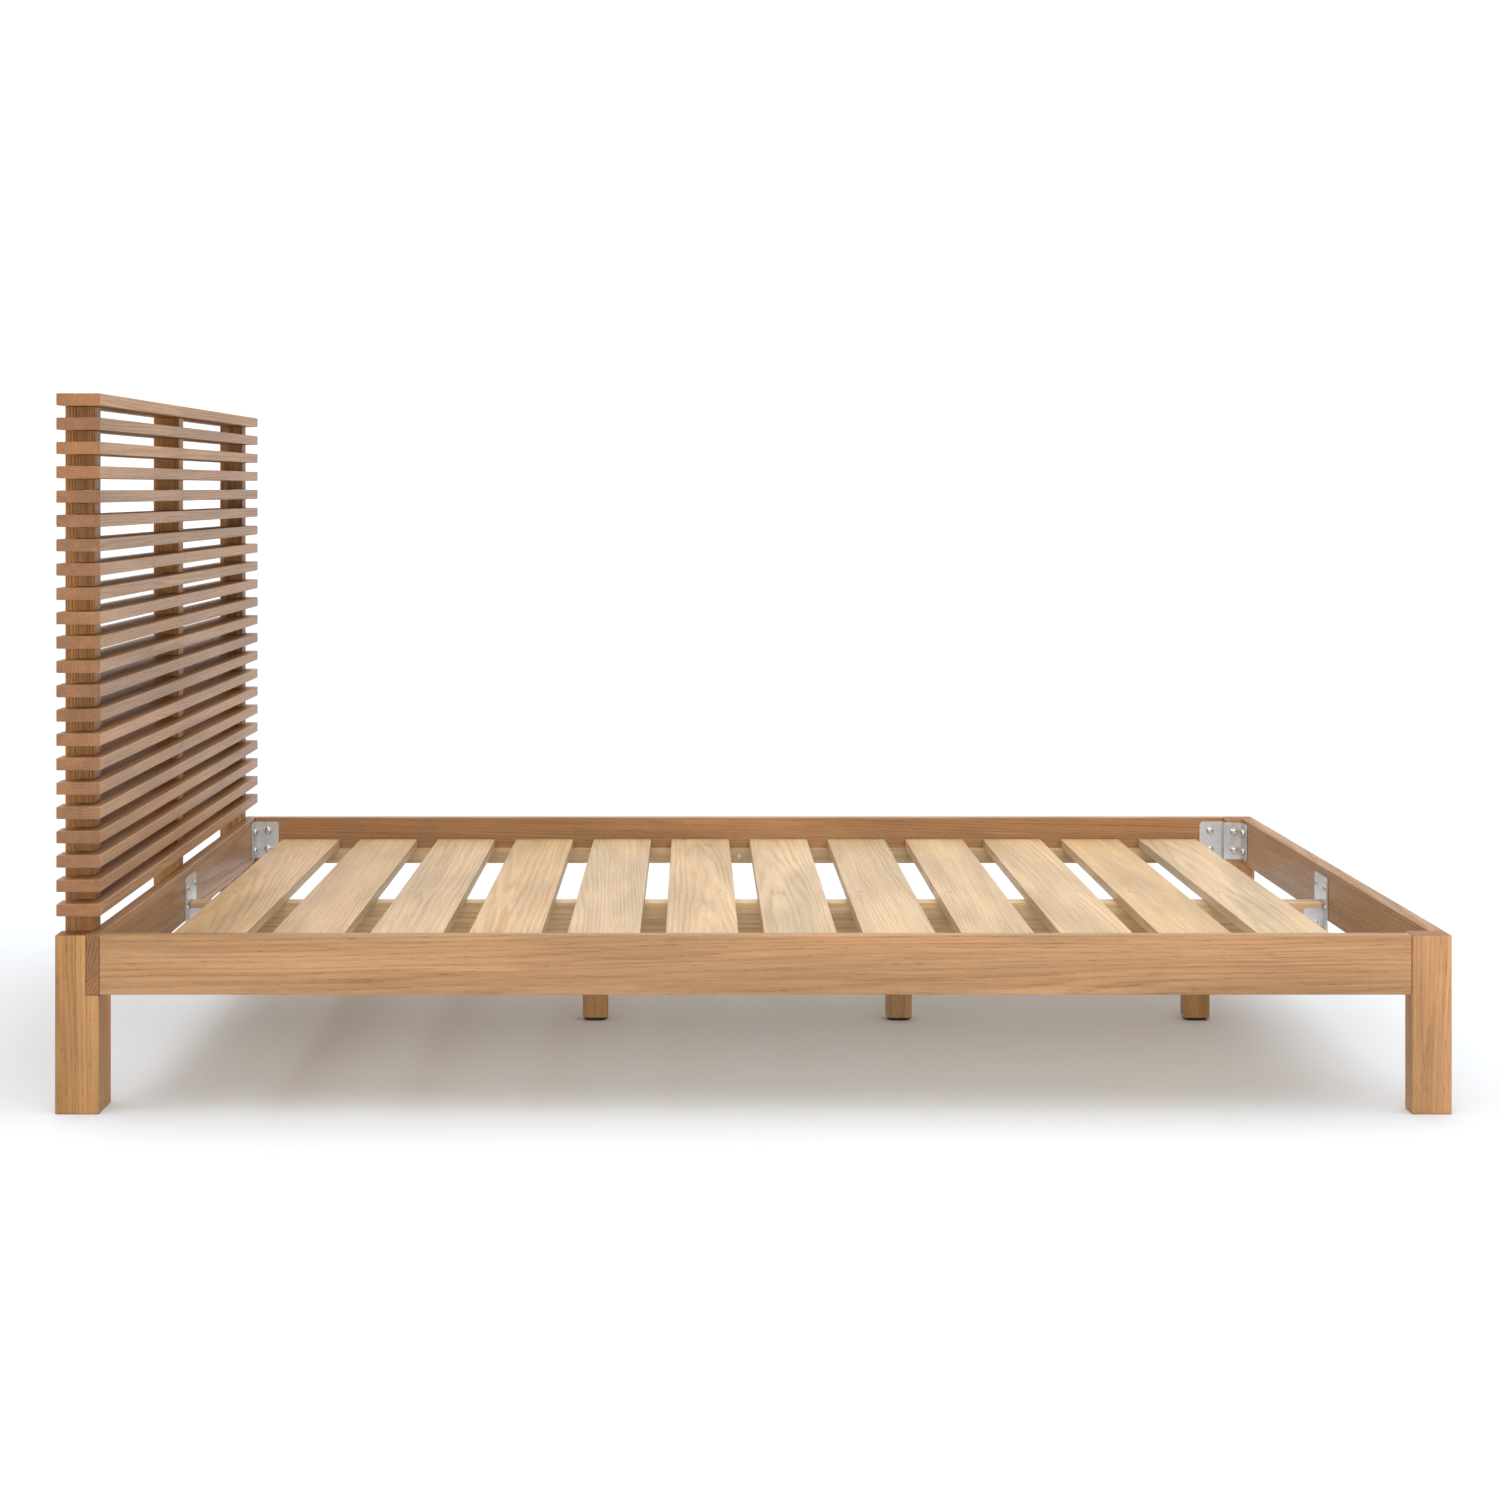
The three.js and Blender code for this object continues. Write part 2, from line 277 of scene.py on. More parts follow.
def growth_rings(tree, log, ring_width):
    """How early in its year the wood grew: 1 at the start of each ring, falling to 0."""
    wander = grain_noise(tree, log, 1.3, 7, colour=True)
    centred = vectors(tree, "SUBTRACT", wander, (0.5, 0.5, 0.5))
    stray = vectors(tree, "MULTIPLY", centred, (0, WANDER, WANDER))
    strayed = vectors(tree, "ADD", log, stray)
    flat = vectors(tree, "MULTIPLY", strayed, (0, 1, 1))
    from_heart = vectors(tree, "LENGTH", flat, out="Value")
    uneven = sums(tree, "MULTIPLY", grain_noise(tree, log, 0.4, 40), 2.5)
    years = sums(tree, "ADD", sums(tree, "DIVIDE", from_heart, ring_width), uneven)
    ring = sums(tree, "FRACT", years)
    opening = ramp(tree, ring, 0.86, 1.0)
    closing = ramp(tree, ring, 0.04, 0.6, 1.0, 0.0)
    return sums(tree, "MAXIMUM", opening, closing)


def open_pores(tree, log, early):
    """Fine dark strokes along the grain, thickest in the early wood."""
    speckle = ramp(tree, grain_noise(tree, log, 52, 740, detail=1.0), 0.57, 0.69)
    return sums(tree, "MULTIPLY", speckle, sums(tree, "MULTIPLY_ADD", early, 0.7, 0.3))


print("Rings stray by up to", WANDER / 2, "m")

# %% [markdown]
# ## The colour of wood
#
# Between its light and its dark colour the wood is shaded by four things: the rings, which come
# and go along a board and stand out most in the end grain, the fine fibres, broad streaks, and
# pale strands that catch the light. Clouds of tone lie over all of it. A wood picture would
# show one board over and over, while these sums give each board its own figure.

# %% Light and dark wood
def shade_of_wood(tree, given, early, fibre):
    """How dark the wood is at each point: 0 is the light colour and 1 the dark."""
    log = given["Log"]
    streak = grain_noise(tree, log, 2.2, 110, detail=3.0)
    strand = ramp(tree, grain_noise(tree, log, 5, 260), 0.52, 0.70)
    fading = ramp(tree, grain_noise(tree, log, 3.1, 21), 0.34, 0.66, 0.35, 1.25)
    bolder = sums(tree, "MULTIPLY_ADD", given["End"], 2.0, fading)
    contrast = sums(tree, "MULTIPLY", given["Figure"], bolder)
    figure = sums(tree, "MULTIPLY", sums(tree, "SUBTRACT", early, 0.35), contrast)
    fine = sums(tree, "MULTIPLY", sums(tree, "SUBTRACT", fibre, 0.5), 0.9)
    broad = sums(tree, "MULTIPLY", sums(tree, "SUBTRACT", streak, 0.5), 1.3)
    pale = sums(tree, "MULTIPLY", strand, -0.22)
    darkness = given["Tone"]
    for part in (figure, fine, broad, pale):
        darkness = sums(tree, "ADD", darkness, part)
    return sums(tree, "ADD", darkness, 0.44, clamp=True)


PORE_COLOUR = (0.42, 0.36, 0.30, 1)
END_COLOUR = (0.64, 0.51, 0.40, 1)  # end grain drinks more oil


def oiled_colour(tree, given, shade, pores):
    """The two colours mixed by the shade, under clouds, pores and the end grain's extra oil."""
    body = blend(tree, shade, given["Light"], given["Dark"])
    cloud = ramp(tree, grain_noise(tree, given["Log"], 1.9, 14), 0.3, 0.7, 0.84, 1.12)
    clouded = vectors(tree, "MULTIPLY", body, cloud)
    pore_share = sums(tree, "MULTIPLY", pores, given["Pores"])
    pored = blend(tree, pore_share, clouded, PORE_COLOUR, "MULTIPLY")
    return blend(tree, given["End"], pored, END_COLOUR, "MULTIPLY")


print("End grain keeps", [round(part, 2) for part in END_COLOUR[:3]], "of the colour")

# %% [markdown]
# ## One group for all the timber
#
# The same wood serves every board, so its nodes are made once, as a group with a few dials. A
# change to the group then changes the whole bed. Besides the colour it gives a roughness, for
# pores and early wood are duller, and a height, because both lie a little below the surface.

# %% The solid wood group
GROUP_INPUTS = {
    "Log": "NodeSocketVector",
    "Light": "NodeSocketColor",
    "Dark": "NodeSocketColor",
    "Ring Width": "NodeSocketFloat",
    "Figure": "NodeSocketFloat",
    "Pores": "NodeSocketFloat",
    "Tone": "NodeSocketFloat",
    "End": "NodeSocketFloat",
}
GROUP_OUTPUTS = {
    "Color": "NodeSocketColor",
    "Roughness": "NodeSocketFloat",
    "Height": "NodeSocketFloat",
}


def solid_wood():
    tree = bpy.data.node_groups.new("solid_wood", "ShaderNodeTree")
    for name, kind in GROUP_INPUTS.items():
        tree.interface.new_socket(name, in_out="INPUT", socket_type=kind)
    for name, kind in GROUP_OUTPUTS.items():
        tree.interface.new_socket(name, in_out="OUTPUT", socket_type=kind)
    given = node(tree, "NodeGroupInput").outputs
    result = node(tree, "NodeGroupOutput").inputs

    early = growth_rings(tree, given["Log"], given["Ring Width"])
    pores = open_pores(tree, given["Log"], early)
    fibre = grain_noise(tree, given["Log"], 11, 480)
    shade = shade_of_wood(tree, given, early, fibre)
    plug(tree, result["Color"], oiled_colour(tree, given, shade, pores))

    duller = sums(tree, "MULTIPLY", early, 0.08)
    dullest = sums(tree, "MULTIPLY", pores, 0.15)
    rough = sums(tree, "ADD", sums(tree, "ADD", duller, dullest), 0.42)
    plug(tree, result["Roughness"], rough)
    sunk = sums(tree, "ADD", sums(tree, "MULTIPLY", early, 0.4), pores)
    height = sums(tree, "SUBTRACT", sums(tree, "MULTIPLY", fibre, 0.3), sunk)
    plug(tree, result["Height"], height)
    return tree


WOOD = solid_wood()
print("Solid wood group:", len(WOOD.nodes), "nodes")

# %% [markdown]
# ## One material for each board
#
# No two boards come from the same place in the log, so each gets its own material: the same
# wood group, with its own distance from the heart, its own small slant and its own tone. A
# Mapping node turns the board's grain on to the log's length. The end grain is found from the
# surface's direction: where a face looks along the grain, it is cut across the fibres, drinks
# more oil and goes darker and redder.
#
# The looks are the recipes for that. Light and dark are the two colours, ring is a year's
# growth in metres, heart is how far out in the log a board may be cut, slant is the most that
# its grain leans in degrees, tones is how far one board may differ from the next, and gloss is
# how much its oiled face shines at a low angle.

# %% Timber looks
LOOKS = {
    "rail": dict(light=(0.505, 0.279, 0.125), dark=(0.333, 0.163, 0.066), ring=0.0055, figure=0.34,
                 pores=0.42, heart=(0.075, 0.13), slant=1.3, tones=0.08, gloss=0.4),
    "leg": dict(light=(0.635, 0.342, 0.154), dark=(0.43, 0.211, 0.084), ring=0.0045, figure=0.30,
                pores=0.55, heart=(0.05, 0.11), slant=1.8, tones=0.08, gloss=0.25),
    "staves": dict(light=(0.505, 0.276, 0.116), dark=(0.34, 0.170, 0.065), ring=0.0042, figure=0.30,
                   pores=0.55, heart=(0.05, 0.11), slant=1.5, tones=0.0, gloss=0.2),
    # The centre legs' wood is the legs' wood made darker: painted shade, for the dark under the
    # bed.
    "shaded_support": dict(light=(0.55, 0.312, 0.146), dark=(0.365, 0.187, 0.076), ring=0.0045,
                    figure=0.30, pores=0.55, heart=(0.05, 0.11), slant=1.5, tones=0.12,
                    gloss=0.25),
    "post": dict(light=(0.66, 0.342, 0.118), dark=(0.30, 0.128, 0.040), ring=0.0032, figure=0.75,
                 pores=0.5, heart=(0.25, 0.4), slant=0.4, tones=0.1, gloss=0.25),
    "slat": dict(light=(0.55, 0.305, 0.142), dark=(0.37, 0.188, 0.080), ring=0.0042, figure=0.21,
                 pores=0.3, heart=(0.06, 0.16), slant=0.7, tones=0.26, gloss=0.5),
    "deck": dict(light=(0.70, 0.50, 0.285), dark=(0.54, 0.335, 0.155), ring=0.0060, figure=0.42,
                 pores=0.1, heart=(0.04, 0.12), slant=1.2, tones=0.15, gloss=0.3),
}
print("Looks:", ", ".join(LOOKS))

# %% Where a board lies in the log
# The way the grain runs, and the turn that lays it along the log.
GRAIN = {
    "X": (Vector((1, 0, 0)), Matrix.Identity(3)),
    "Y": (Vector((0, 1, 0)), Matrix.Rotation(math.radians(-90), 3, "Z")),
    "Z": (Vector((0, 0, 1)), Matrix.Rotation(math.radians(90), 3, "Y")),
}
choose = random.Random(20)
LOG_LENGTH = 40


def saw_from_log(tree, place, recipe, onto_log, centre):
    """Places on the board, turned and moved to where it lay in the log."""
    lean = recipe["slant"]
    slant = Euler([math.radians(choose.uniform(-lean, lean)) for _ in range(3)])
    turn = slant.to_matrix() @ onto_log
    angle = choose.uniform(0, 2 * math.pi)
    distance = choose.uniform(*recipe["heart"])
    start = choose.uniform(0, LOG_LENGTH)
    cut = Vector((start, distance * math.cos(angle), distance * math.sin(angle)))
    mapping = node(tree, "ShaderNodeMapping")
    mapping.inputs["Rotation"].default_value = turn.to_euler()
    mapping.inputs["Location"].default_value = cut - turn @ centre
    plug(tree, mapping.inputs["Vector"], place)
    return mapping.outputs["Vector"]


def end_grain(tree, along):
    """1 where a face looks along the grain, and 0 where it looks across it."""
    normal = node(tree, "ShaderNodeNewGeometry").outputs["Normal"]
    facing = vectors(tree, "DOT_PRODUCT", normal, along, out="Value")
    return ramp(tree, sums(tree, "ABSOLUTE", facing), 0.55, 0.9)


print(f"A log {LOG_LENGTH} m long, enough for every board.")

# %% [markdown]
# ## Glued staves
#
# A leg as deep as the ones at the head is hard to find in one dry piece, so it is glued up from
# two staves. Beyond the glue line the wood comes from another place in the log and is a shade
# lighter, and the line itself shows as a hair of shadow.

# %% The glue line
SECOND_STAVE = (7.3, 0.043, -0.031)  # how far off in the log the other stave was cut


def glue_staves(tree, place, log, glue_line):
    """The log places of two staves, the tone of each, and the shadow of the line between."""
    across = node(tree, "ShaderNodeSeparateXYZ")
    plug(tree, across.inputs["Vector"], place)
    from_glue = sums(tree, "SUBTRACT", across.outputs["X"], glue_line)
    second = sums(tree, "GREATER_THAN", from_glue, 0.0)
    moved = vectors(tree, "ADD", log, vectors(tree, "MULTIPLY", SECOND_STAVE, second))
    tone = sums(tree, "MULTIPLY_ADD", second, -0.24, 0.14)
    seam = ramp(tree, sums(tree, "ABSOLUTE", from_glue), 0.0001, 0.0005, 0.5, 1.0)
    return moved, tone, seam


print("Staves are cut", SECOND_STAVE[0], "m apart in the log.")

# %% [markdown]
# ## The board's own material
#
# Now the pieces come together: a place in the log, a tone and a tint drawn for this board, the
# shared wood group, and a Bump node that sinks the pores by a fraction of a millimetre.

# %% Timber
PORE_DEPTH = 0.0003


def timber(name, look, grain, centre, glue_line=None):
    """A material for one board, cut at its own place and slant in the log."""
    recipe = LOOKS[look]
    material = bpy.data.materials.new(name)
    material.use_nodes = True
    tree = material.node_tree
    finish = tree.nodes["Principled BSDF"]
    along, onto_log = GRAIN[grain]
    place = node(tree, "ShaderNodeTexCoord").outputs["Object"]
    log = saw_from_log(tree, place, recipe, onto_log, centre)
    tone = choose.uniform(-recipe["tones"], recipe["tones"])
    warmth = choose.uniform(-0.035, 0.035)
    tint = Vector((1 + warmth, 1, 1 - 2 * warmth))
    if glue_line is not None:
        log, tone, seam = glue_staves(tree, place, log, glue_line)

    wood = node(tree, "ShaderNodeGroup", node_tree=WOOD)
    settings = {
        "Log": log,
        "Light": (*(tint * Vector(recipe["light"])), 1),
        "Dark": (*(tint * Vector(recipe["dark"])), 1),
        "Ring Width": recipe["ring"],
        "Figure": recipe["figure"],
        "Pores": recipe["pores"],
        "Tone": tone,
        "End": end_grain(tree, along),
    }
    for socket, value in settings.items():
        plug(tree, wood.inputs[socket], value)
    colour = wood.outputs["Color"]
    if glue_line is not None:
        colour = vectors(tree, "MULTIPLY", colour, seam)
    plug(tree, finish.inputs["Base Color"], colour)
    plug(tree, finish.inputs["Roughness"], wood.outputs["Roughness"])
    finish.inputs["Specular IOR Level"].default_value = recipe["gloss"]
    bump = node(tree, "ShaderNodeBump")
    bump.inputs["Strength"].default_value = 0.5
    bump.inputs["Distance"].default_value = PORE_DEPTH
    plug(tree, bump.inputs["Height"], wood.outputs["Height"])
    plug(tree, finish.inputs["Normal"], bump.outputs["Normal"])
    return material


print(f"Pores lie {PORE_DEPTH * 1000:.1f} mm deep.")

# %% [markdown]
# ## Boards with eased edges
#
# A board straight off the saw has edges that splinter, so a joiner takes them off with a few
# strokes of a plane. The loaded boards are sharp. Each is copied, its loose triangles are
# merged back into whole faces, and a Bevel modifier rounds every edge by a millimetre or two.
# The round is small, but it is what catches the light along each board and draws the fine dark
# line where two boards meet.

# %% Looking up the frame
def body_of(node_name):
    bodies = frame["record"]["behaviour"]["bodies"]
    return next(name for name, nodes in bodies.items() if node_name in nodes)


def slot_of(node_name):
    parts = frame["record"]["subparts"]
    return next(part["material_slot"] for part in parts if part["node"] == node_name)


def stand_for(piece, node_name):
    """The piece is seen in the loaded piece's place, and moves as it would."""
    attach(piece, body_of(node_name))
    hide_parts(node_name)


print("A rail rides on", body_of("foot_rail"), "and is of", slot_of("foot_rail"))

# %% Whole faces and round edges
def merged_copy(node_name, name):
    """A copy of a loaded piece with whole faces where it had loose triangles."""
    piece = bpy.data.objects.new(name, frame["nodes"][node_name].data.copy())
    piece.data.materials.clear()
    bpy.context.scene.collection.objects.link(piece)
    select_only(piece)
    bpy.ops.object.mode_set(mode="EDIT")
    bpy.ops.mesh.select_all(action="SELECT")
    bpy.ops.mesh.remove_doubles(threshold=1e-5)
    bpy.ops.mesh.dissolve_limited(angle_limit=math.radians(1))
    bpy.ops.object.mode_set(mode="OBJECT")
    return piece


SHARP = math.radians(40)  # an edge that turns by less is left as it is


def ease(piece, radius, segments=3):
    """Rounds every sharp edge of a piece."""
    select_only(piece)
    round_over = piece.modifiers.new("eased_edges", "BEVEL")
    round_over.width = radius
    round_over.segments = segments
    round_over.limit_method = "ANGLE"
    round_over.angle_limit = SHARP
    round_over.harden_normals = True
    bpy.ops.object.modifier_apply(modifier="eased_edges")


def board(node_name, look, grain, radius, glue_line=None):
    """A loaded board with eased edges, in wood of its own."""
    corner, far_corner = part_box(node_name)
    piece = merged_copy(node_name, node_name + "_board")
    ease(piece, radius)
    wood = timber(node_name + "_wood", look, grain, (corner + far_corner) / 2, glue_line)
    piece.data.materials.append(wood)
    stand_for(piece, node_name)
    return piece


print(f"Edges that turn by more than {math.degrees(SHARP):.0f} degrees are eased.")

# %% [markdown]
# ## The bed's own boards
#
# Every wooden piece of the frame is made in one pass, and only its look, the run of its grain
# and the size of its round change. Legs and posts have upright grain and rails have level
# grain, because wood is strong along its fibres. Posts are eased least, so that the slats'
# laps close tight, and the legs most, because shins meet them.

# %% Boards
SIDES = {"right": -1, "left": 1}  # which way each lies from the bed's middle line
SLATS = [f"headboard_slat_{number:02d}" for number in range(1, 23)]
DECK_SLATS = [f"deck_slat_{number:02d}" for number in range(1, 13)]
CENTRE_LEGS = [f"centre_leg_{number}" for number in (1, 2, 3)]

STAVE = 0.032  # the outer stave's share of the head leg's depth

for side in SIDES:
    board(f"head_leg_{side}", "staves", "Z", 0.0025, glue_line=low.x + STAVE)
    board(f"foot_leg_{side}", "leg", "Z", 0.0025)
    board(f"headboard_post_{side}", "post", "Z", 0.0012)
    board(f"side_rail_{side}", "rail", "X", 0.002)
    board(f"ledger_{side}", "deck", "X", 0.001)
board("headboard_post_middle", "post", "Z", 0.0012)
board("head_cross_rail", "rail", "Y", 0.0015)
board("foot_rail", "rail", "Y", 0.002)
board("centre_beam", "deck", "X", 0.0015)
for slat in SLATS:
    board(slat, "slat", "Y", 0.0018)
for slat in DECK_SLATS:
    board(slat, "deck", "Y", 0.0015)
# The centre legs take the darker copy of the legs' wood: painted shade under the bed.
for leg in CENTRE_LEGS:
    board(leg, "shaded_support", "Z", 0.0015)

# %% [markdown]
# ## Steel plate
#
# The brackets and hangers are pressed from three-millimetre sheet and zinc plated. A press
# leaves no sharp corner, because a corner would crack the tool and cut the hand, so the free
# corners are rounded in the flat and the rims are eased. Zinc grows as crystals, which show as
# faint patches that are rougher or brighter than their neighbours.

# %% Zinc plating
def zinc(name, tint, roughness):
    material = bpy.data.materials.new(name)
    material.use_nodes = True
    tree = material.node_tree
    finish = tree.nodes["Principled BSDF"]
    finish.inputs["Metallic"].default_value = 1.0
    place = node(tree, "ShaderNodeTexCoord").outputs["Object"]
    crystals = node(tree, "ShaderNodeTexVoronoi")
    crystals.inputs["Scale"].default_value = 140
    plug(tree, crystals.inputs["Vector"], place)
    crystal = node(tree, "ShaderNodeSeparateColor")
    plug(tree, crystal.inputs["Color"], crystals.outputs["Color"])
    smudge = grain_noise(tree, place, 30, 30, detail=3.0)
    shade = sums(tree, "MULTIPLY_ADD", crystal.outputs["Red"], 0.10, 0.93)
    plug(tree, finish.inputs["Base Color"], vectors(tree, "MULTIPLY", tint, shade))
    worn = sums(tree, "MULTIPLY_ADD", crystal.outputs["Green"], 0.08, roughness - 0.1)
    plug(tree, finish.inputs["Roughness"], sums(tree, "MULTIPLY_ADD", smudge, 0.14, worn))
    return material


PLATE_ZINC = zinc("plate_zinc", (0.66, 0.67, 0.68), 0.40)
SCREW_ZINC = zinc("screw_zinc", (0.70, 0.69, 0.66), 0.30)
print("Zinc for plates and for screws:", PLATE_ZINC.name, SCREW_ZINC.name)

# %% Picking edges and faces
def edit_parts(piece, kind, test):
    """Opens a piece in edit mode with just the edges or faces that pass a test selected."""
    select_only(piece)
    bpy.ops.object.mode_set(mode="EDIT")
    bpy.ops.mesh.select_mode(type=kind)
    bpy.ops.mesh.select_all(action="DESELECT")
    shape = bmesh.from_edit_mesh(piece.data)
    for part in (shape.edges if kind == "EDGE" else shape.faces):
        part.select_set(test(part))
    bmesh.update_edit_mesh(piece.data)


def round_corners(piece, thickness, radius, segments):
    """Rounds a sheet in the flat: its short convex edges, one thickness long, are its corners."""
    edit_parts(piece, "EDGE", lambda edge: edge.is_convex
               and abs(edge.calc_length() - thickness) < thickness / 15)
    bpy.ops.mesh.bevel(offset=radius, segments=segments, affect="EDGES")
    bpy.ops.object.mode_set(mode="OBJECT")


PLATE_THICK = 0.003
print(f"Plates are {PLATE_THICK * 1000:.0f} mm thick.")

# %% Plates
def plate(node_name, corner_radius):
    piece = merged_copy(node_name, node_name + "_plate")
    round_corners(piece, PLATE_THICK, corner_radius, segments=6)
    ease(piece, 0.0005, segments=2)
    piece.data.materials.append(PLATE_ZINC)
    stand_for(piece, node_name)
    return piece


for side in SIDES:
    plate(f"head_corner_bracket_{side}", 0.008)
    plate(f"foot_corner_bracket_{side}", 0.008)
for end in ("head", "foot"):
    plate(f"beam_hanger_{end}", 0.007)
print("Plates: four corner brackets and two beam hangers.")

# %% [markdown]
# ## Turning and carving
#
# Small fittings are round, so each starts as a disc and is worked as on a lathe: its end face
# is picked, drawn out and made narrower, step by step. A hole or a recess is made as a drill
# or a punch makes it, by pushing a cutter in and taking its shape away.

# %% Turning and carving
def lathe(name, radius, height, segments=24):
    """A plain disc, standing on the origin, to be shaped further."""
    select_only()
    bpy.ops.mesh.primitive_cylinder_add(vertices=segments, radius=radius, depth=height,
                                        location=(0, 0, height / 2))
    piece = bpy.context.object
    piece.name = name
    bpy.ops.object.transform_apply(location=True, rotation=False, scale=False)
    return piece


def flat_face(piece, height):
    """Opens a piece in edit mode with the level face at a height selected."""
    edit_parts(piece, "FACE", lambda face: abs(face.normal.z) > 0.99
               and abs(face.calc_center_median().z - height) < 1e-5)


def shrink(share):
    bpy.ops.transform.resize(value=(share, share, 1), center_override=(0, 0, 0))


def draw_out(run):
    """Extrudes the selected face."""
    bpy.ops.mesh.extrude_region_move(TRANSFORM_OT_translate={"value": run})


def carve(piece, cutter):
    """Takes the cutter's shape out of a piece, and the cutter away."""
    select_only(piece)
    cut = piece.modifiers.new("cut", "BOOLEAN")
    cut.operation = "DIFFERENCE"
    cut.solver = "EXACT"
    cut.object = cutter
    bpy.ops.object.modifier_apply(modifier="cut")
    bpy.data.objects.remove(cutter, do_unlink=True)


def bore(piece, radius, height, segments=32):
    """Drills a hole right through a disc that stands on the origin."""
    drill = lathe("drill", radius, height * 3, segments)
    drill.data.transform(Matrix.Translation((0, 0, -height)))
    carve(piece, drill)


print("Lathe tools:", ", ".join(tool.__name__ for tool in (lathe, draw_out, shrink, carve, bore)))

# %% [markdown]
# ## Screws
#
# Each kind of fastener is turned once, standing on the origin with its head up. A cutter in the
# shape of the driver's tip leaves the recess, which is a shape and not a picture, so that it
# holds its shadow from any side. Countersunk heads are for wood, where a head has to lie flush.
# Pan heads are for plate, which they clamp with the flat under the head.

# %% The driver's tip
def driver_tip(length, depth, top):
    """The four blades of a cross driver, extruded from a square bar."""
    select_only()
    blade = length / 4.5
    bpy.ops.mesh.primitive_cube_add(size=1, location=(0, 0, top - depth / 2))
    tip = bpy.context.object
    tip.scale = (blade, blade, depth)
    bpy.ops.object.transform_apply(location=True, rotation=False, scale=True)
    for axis, sign in ((0, 1), (0, -1), (1, 1), (1, -1)):
        edit_parts(tip, "FACE", lambda face: sign * face.normal[axis] > 0.99)
        outward = [0, 0, 0]
        outward[axis] = sign * (length - blade) / 2
        draw_out(outward)
        bpy.ops.object.mode_set(mode="OBJECT")
    return tip


SCREW_HEAD, SCREW_HEIGHT = 0.0042, 0.0028  # the head's radius and its height
RECESS_TOP = SCREW_HEIGHT + 0.0001  # the tip starts just above the head, for a clean cut
print(f"Screw heads are {2000 * SCREW_HEAD:.1f} mm across.")

# %% Screws
SHANK = 0.006  # only its start is made, because the rest is inside the wood


def finish_fitting(piece, finish, angle):
    """Smooth round sides and crisp rims, in one finish."""
    select_only(piece)
    bpy.ops.object.shade_smooth_by_angle(angle=math.radians(angle))
    piece.data.materials.clear()
    piece.data.materials.append(finish)
    print(piece.name, "has", len(piece.data.polygons), "faces")


def countersunk_screw():
    """Flat on top and sloped below, so that it draws down flush with the wood."""
    screw = lathe("countersunk_screw", SCREW_HEAD, SCREW_HEIGHT)
    flat_face(screw, 0)
    shrink(0.45)
    draw_out((0, 0, -SHANK))
    bpy.ops.object.mode_set(mode="OBJECT")
    carve(screw, driver_tip(SCREW_HEAD * 1.15, SCREW_HEIGHT * 0.6, RECESS_TOP))
    screw.data.transform(Matrix.Translation((0, 0, -SCREW_HEIGHT)))
    finish_fitting(screw, SCREW_ZINC, 32)
    return screw


def pan_screw():
    """Flat below and domed on top, to clamp sheet metal."""
    screw = lathe("pan_screw", SCREW_HEAD, SCREW_HEIGHT * 0.55)
    flat_face(screw, SCREW_HEIGHT * 0.55)
    for rise, share in ((0.3, 0.82), (0.15, 0.72)):
        draw_out((0, 0, SCREW_HEIGHT * rise))
        shrink(share)
    bpy.ops.object.mode_set(mode="OBJECT")
    carve(screw, driver_tip(SCREW_HEAD * 1.05, SCREW_HEIGHT * 0.65, RECESS_TOP))
    finish_fitting(screw, SCREW_ZINC, 32)
    return screw


SLAT_SCREW = countersunk_screw()
PLATE_SCREW = pan_screw()

# %% [markdown]
# ## Bolts and washers
#
# The corner brackets are bolted, because a bed is taken apart whenever it moves house. A bolt
# has a low domed head with a six-sided socket, and the washer under it spreads its load.

# %% Bolt and washer
BOLT_HEAD, BOLT_HEIGHT, BOLT_SOCKET = 0.0068, 0.0042, 0.0029
WASHER_OUTER, WASHER_INNER, WASHER_THICK = 0.0088, 0.0034, 0.0014


def socket_bolt():
    bolt = lathe("socket_bolt", BOLT_HEAD, BOLT_HEIGHT * 0.35, segments=32)
    for top, rise, share in ((0.35, 0.3, 0.93), (0.65, 0.23, 0.86), (0.88, 0.12, 0.8)):
        flat_face(bolt, BOLT_HEIGHT * top)
        draw_out((0, 0, BOLT_HEIGHT * rise))
        shrink(share)
        bpy.ops.object.mode_set(mode="OBJECT")
    hexagon = lathe("hex_key", BOLT_SOCKET, BOLT_HEIGHT, segments=6)
    hexagon.data.transform(Matrix.Translation((0, 0, BOLT_HEIGHT * 0.4)))
    carve(bolt, hexagon)
    finish_fitting(bolt, SCREW_ZINC, 32)
    return bolt


def washer():
    ring = lathe("washer", WASHER_OUTER, WASHER_THICK, segments=32)
    bore(ring, WASHER_INNER, WASHER_THICK)
    ease(ring, 0.0003, segments=2)
    finish_fitting(ring, SCREW_ZINC, 32)
    return ring


BOLT = socket_bolt()
WASHER = washer()

# %% [markdown]
# ## Setting fasteners in place
#
# Copies are set wherever the joiner would drive one, each turned at random about its own axis,
# because no two screws stop at the same angle. Copies of one kind that do one job are joined,
# as a bag of screws is one line on a parts list.

# %% Copies
def copies(master, spots, name, lift=0.0):
    """One joined piece of copies. A spot is where the seat is, and which way the head looks."""
    made = []
    for place, facing in spots:
        facing = Vector(facing)
        upright = facing.to_track_quat("Z", "Y").to_matrix().to_4x4()
        turned = Matrix.Rotation(choose.uniform(0, 2 * math.pi), 4, "Z")
        copy = bpy.data.objects.new(name, master.data.copy())
        copy.data.transform(Matrix.Translation(Vector(place) + lift * facing) @ upright @ turned)
        bpy.context.scene.collection.objects.link(copy)
        made.append(copy)
    select_only(*made)
    if len(made) > 1:
        bpy.ops.object.join()
    return bpy.context.view_layer.objects.active


def fasten(master, spots, name, lift=0.0):
    """Copies that hold the frame together, so they ride on it."""
    piece = copies(master, spots, name, lift)
    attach(piece, "bed_frame")
    print(f"{name}: {len(spots)}")
    return piece


print("Each fastener is turned by chance about its own axis.")

